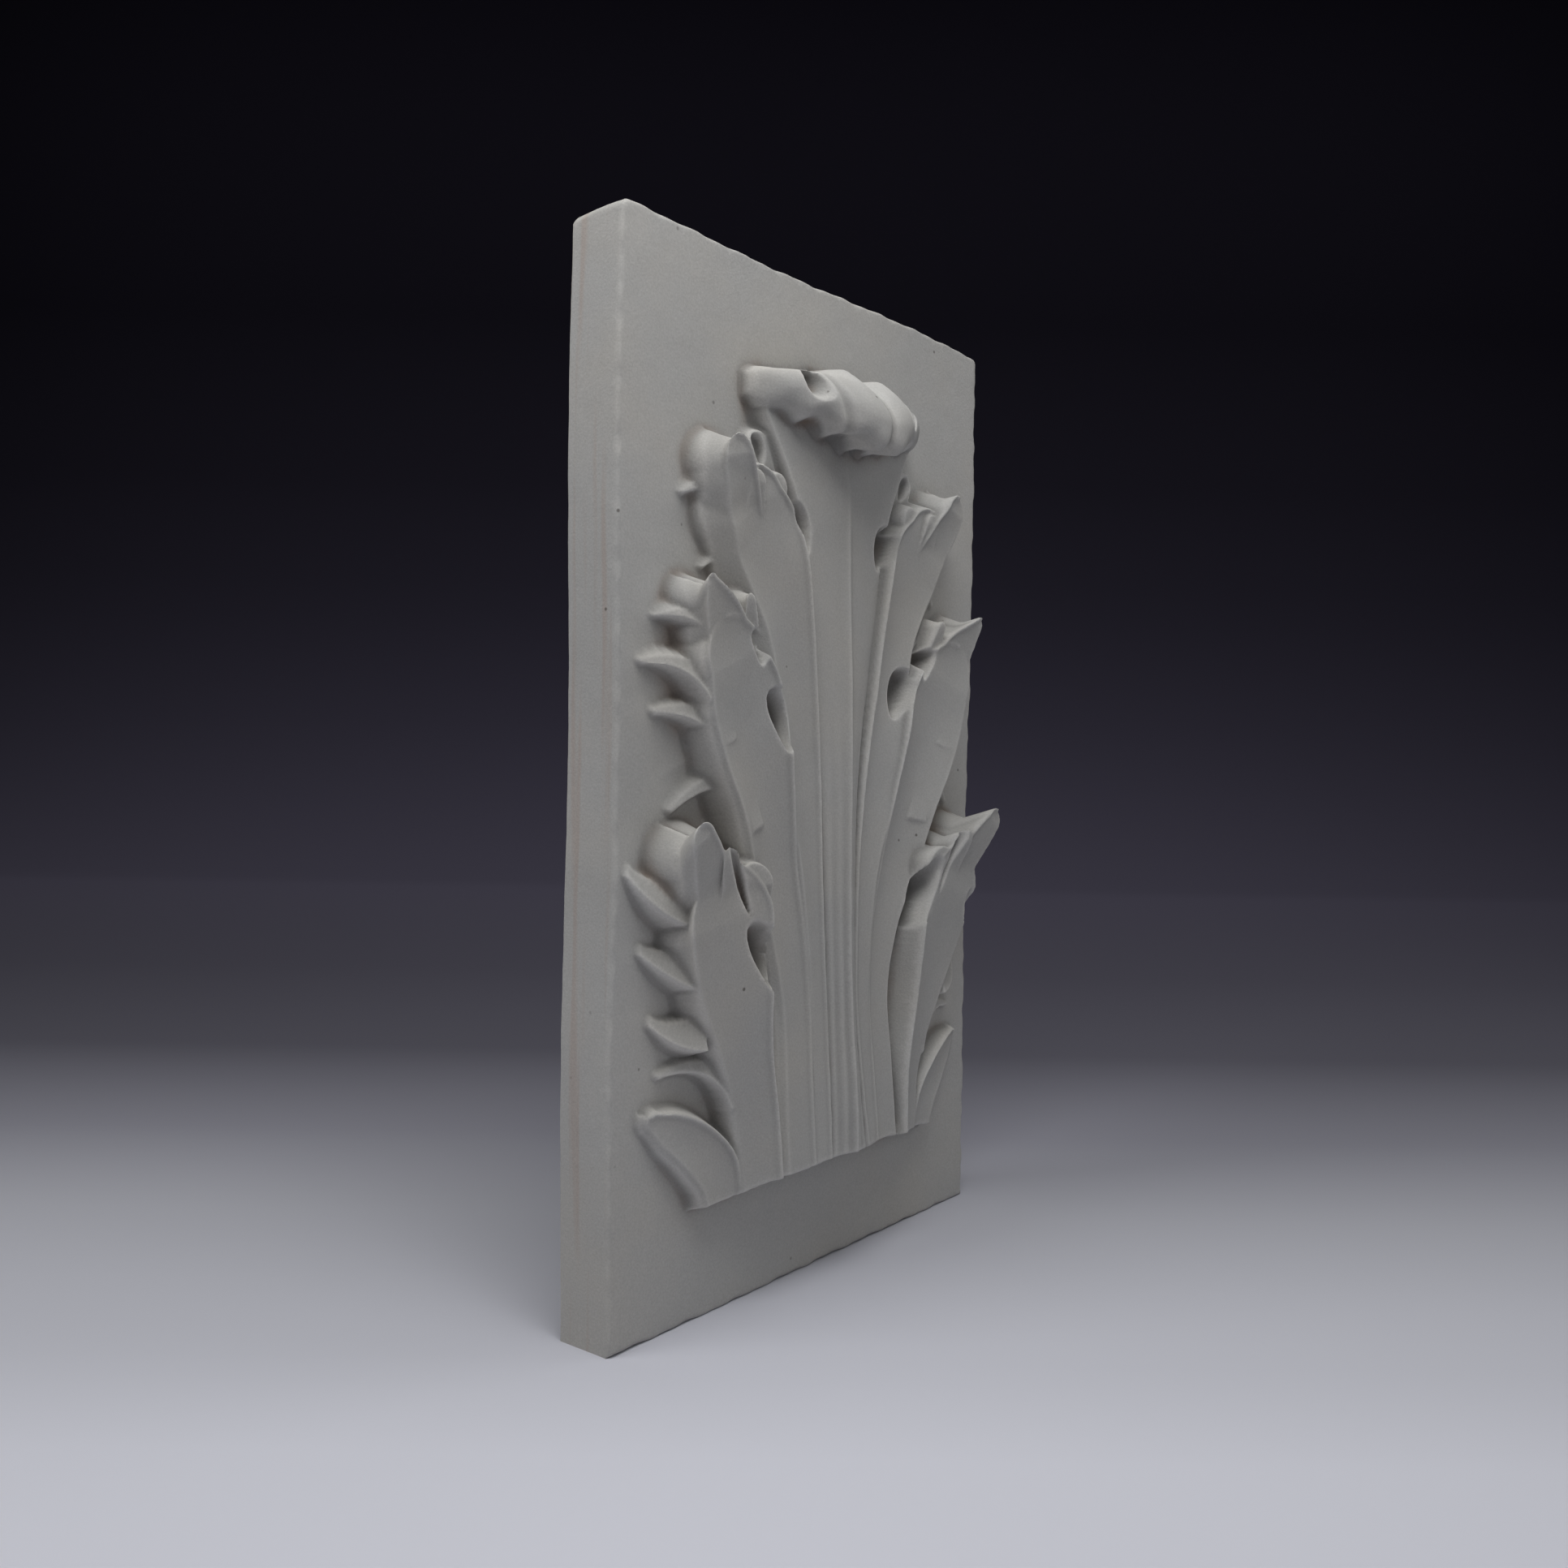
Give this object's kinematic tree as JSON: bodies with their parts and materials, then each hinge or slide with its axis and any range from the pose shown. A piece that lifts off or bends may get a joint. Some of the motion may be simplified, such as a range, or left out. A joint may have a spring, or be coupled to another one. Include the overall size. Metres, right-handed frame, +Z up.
{
  "type": "plaster relief",
  "caption": "Upright plaster slab with an acanthus leaf in high relief: a ribbed stem, curling lobes with pierced eyes and a tip that rolls forward over the stem.",
  "frame": {"origin": "centre of the slab's underside, midway between the slab's face and back, on the surface it stands on", "axes": "+Z up along the leaf's stem, the carved face toward -Y, +X to the right seen from the front"},
  "size_m": [0.3601, 0.0884, 0.6],
  "materials": {
    "plaster": "bare cast gypsum plaster, matt and slightly grainy"
  },
  "bodies": {
    "root": {"relief": "plaster"}
  },
  "joints": []
}
